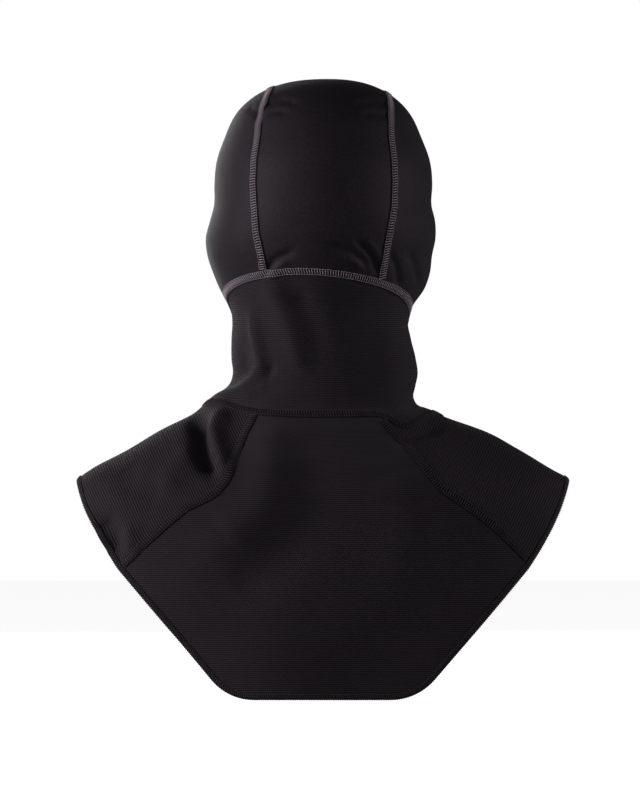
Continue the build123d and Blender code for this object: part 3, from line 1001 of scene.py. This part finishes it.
courses = {
    "nape_seam": (round_course(nape_level, nape_rise), "grey_thread"),
    "neck_base_seam": (round_course(neck_level, neck_rise), "black_thread"),
    "crown_left_seam": (crown_course(1), "grey_thread"),
    "crown_right_seam": (crown_course(-1), "grey_thread"),
    "neck_front_seam": (short_course(neck_level + 3.0, neck_front_top), "black_thread"),
    "chin_seam": (short_course(chin_bottom, chin_top), "black_thread"),
}
for facing, face_name in ((1, "back"), (-1, "front")):
    for side, side_name in ((1, "left"), (-1, "right")):
        course = line_course(shoulder_side[side], facing, side)
        courses[f"{face_name}_{side_name}_shoulder_seam"] = (course, "black_thread")

for name, (course, slot) in courses.items():
    section = [(painted_shadow_side[name] * across, lift) for across, lift in seam_section]
    bed = swept(name + "_bed", course, section, dark_bed_and_painted_shadow)
    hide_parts(name)
    thread = grey_thread if slot == "grey_thread" else black_thread
    stitches = stitched(name + "_stitches", course, flat_seam, thread)

# ----------------------------------------
# Hem: both plies overlocked together with black thread, a folded band 4.5 mm wide with slanted
# wraps over its face and a bead of loops on its edge.
def hem_course():
    """The hem's edge, once round the cape, from back left to front left, front right and back right."""
    tip_margin, least_gap = 0.2, 0.3
    line = even(np.array(hem_line), 2.0)
    left, right, _, _, _ = form_at(line[:, 1])
    sides = []
    for facing, side in ((1, 1), (-1, 1), (-1, -1), (1, -1)):
        limit = left if side > 0 else right
        inside = line[line[:, 0] < limit - tip_margin]
        places, normals = spots(inside[:, 1], turn_at(side * inside[:, 0], inside[:, 1], facing))
        backwards = facing != side
        sides.append((places[::-1], normals[::-1]) if backwards else (places, normals))
    places = np.concatenate([part[0] for part in sides])
    normals = np.concatenate([part[1] for part in sides])
    far = np.linalg.norm(np.roll(places, -1, axis=0) - places, axis=1) > least_gap
    return ease(places[far], normals[far], True)


hem_path = hem_course()
inward = -1.0 if np.cross(hem_path[0][1] - hem_path[0][0], hem_path[1][0])[2] < 0 else 1.0
hem_section = [(inward * a, lift) for a, lift in (
    (4.6, 0.1), (3.6, 0.55), (1.2, 0.6), (0.1, 0.35), (-0.45, -0.3), (-0.6, -1.1), (-0.45, -1.9), (0.1, -2.5),
    (1.2, -2.8), (3.6, -2.8), (4.6, -2.4), (4.6, -2.0), (0.6, -1.9), (0.6, -0.4), (4.6, -0.3))]
hem = swept("hem_overlock_band", hem_path, hem_section, dark_bed_and_painted_shadow)
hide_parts("hem_overlock")
wrap = {"Pitch": 0.0018, "Across": inward * 0.0021, "Lift": 0.0006, "Length": 0.0007, "Width": 0.0048,
        "Height": 0.0007, "Slant": 0.32}
under_wrap = dict(wrap, Lift=-0.0029, Slant=-0.32)
bead = {"Pitch": 0.0018, "Across": -inward * 0.0005, "Lift": -0.0011, "Length": 0.0009, "Width": 0.0009,
        "Height": 0.0034, "Slant": 0.0}
hem_rows = [wrap, under_wrap, bead, dict(needle, Across=inward * 0.0040, Lift=0.0005)]
hem_stitches = stitched("hem_overlock_stitches", hem_path, hem_rows, black_thread)

# ----------------------------------------
# Face opening: a strip of rib knit folded round the edge of every ply and gathered on elastic,
# held by two rows of needle stitches.
fold_room = 1.0  # between the opening's edge and the line that the binding is folded along
angles = np.linspace(0.0, 2 * pi, 241)[:-1]
face_x = (face_half_width + fold_room) * np.sin(angles)
face_levels = face_level + (face_half_height + fold_room) * np.cos(angles)
face_places, face_normals = spots(face_levels, turn_at(face_x, face_levels, -1))
face_path = ease(face_places, face_normals, True)
outward = 1.0 if (np.cross(face_path[0][1] - face_path[0][0], face_path[1][0])
                  @ (face_path[0][0] - face_path[0].mean(axis=0))) > 0 else -1.0
binding_section = [(outward * a, lift) for a, lift in (
    (9.6, 0.15), (8.8, 0.8), (6.0, 1.2), (2.0, 1.3), (-0.4, 0.9), (-1.1, -0.2), (-1.3, -1.2), (-1.1, -2.2),
    (-0.4, -3.2), (2.0, -3.6), (6.0, -3.5), (8.8, -3.1), (9.6, -2.6), (9.4, -2.4), (5.0, -2.5), (0.6, -2.3),
    (0.3, -1.2), (0.6, -0.1), (5.0, 0.1), (9.4, 0.05))]
binding = swept("face_binding_band", face_path, binding_section, rib_charcoal, ripple=0.28, ripple_pitch=6.5)
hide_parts("face_binding")
binding_rows = [dict(needle, Across=outward * gap, Lift=lift, Pitch=0.0026, Length=0.0022)
                for gap, lift in ((0.0078, 0.00105), (0.0045, 0.0013))]
binding_stitches = stitched("face_binding_stitches", face_path, binding_rows, black_thread)

# ----------------------------------------
# Elastic: a flat woven band lying in the fold of the binding, which draws the face opening in
# round the face.
elastic_white = stretch_knit("elastic_white", (0.42, 0.42, 0.40, 1), (0.60, 0.60, 0.58, 1), 0.0)
elastic_section = [(outward * a, lift) for a, lift in ((1.2, -0.4), (4.8, -0.4), (4.8, -1.9), (1.2, -1.9))]
elastic = swept("face_elastic_band", face_path, elastic_section, elastic_white)
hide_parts("face_elastic")

# ----------------------------------------
# Care label: a blank tape of woven polyester, sewn inside the back of the neck below the nape
# seam.
label_tape = rib_knit("label_tape", (0.55, 0.55, 0.53, 1), (0.78, 0.78, 0.76, 1), 0.0006, 0.0006, 0.2, 0.0)
label_rows, label_columns = 24, 20
label_inset = 2.6  # from the outer cloth, just inside the lining
label_levels = np.linspace(242.0, 288.0, label_rows)
label_across = np.linspace(-19.0, 19.0, label_columns)
label_grid = np.array([(x, level) for level in label_levels for x in label_across])
label_turns = turn_at(label_grid[:, 0], label_grid[:, 1], 1)
label_places, label_normals = spots(label_grid[:, 1], label_turns)
label_points = place(label_places - label_normals * label_inset)
label_starts = [r * label_columns + c for r in range(label_rows - 1) for c in range(label_columns - 1)]
label_faces = [(k, k + 1, k + label_columns + 1, k + label_columns) for k in label_starts]
label = new_piece("care_label_tape", label_points, label_faces, label_grid * mm, label_tape)
label_wall = label.modifiers.new("tape", "SOLIDIFY")
label_wall.thickness = 0.4 * mm
label_wall.offset = 0.0
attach(label, "root")
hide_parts("care_label")
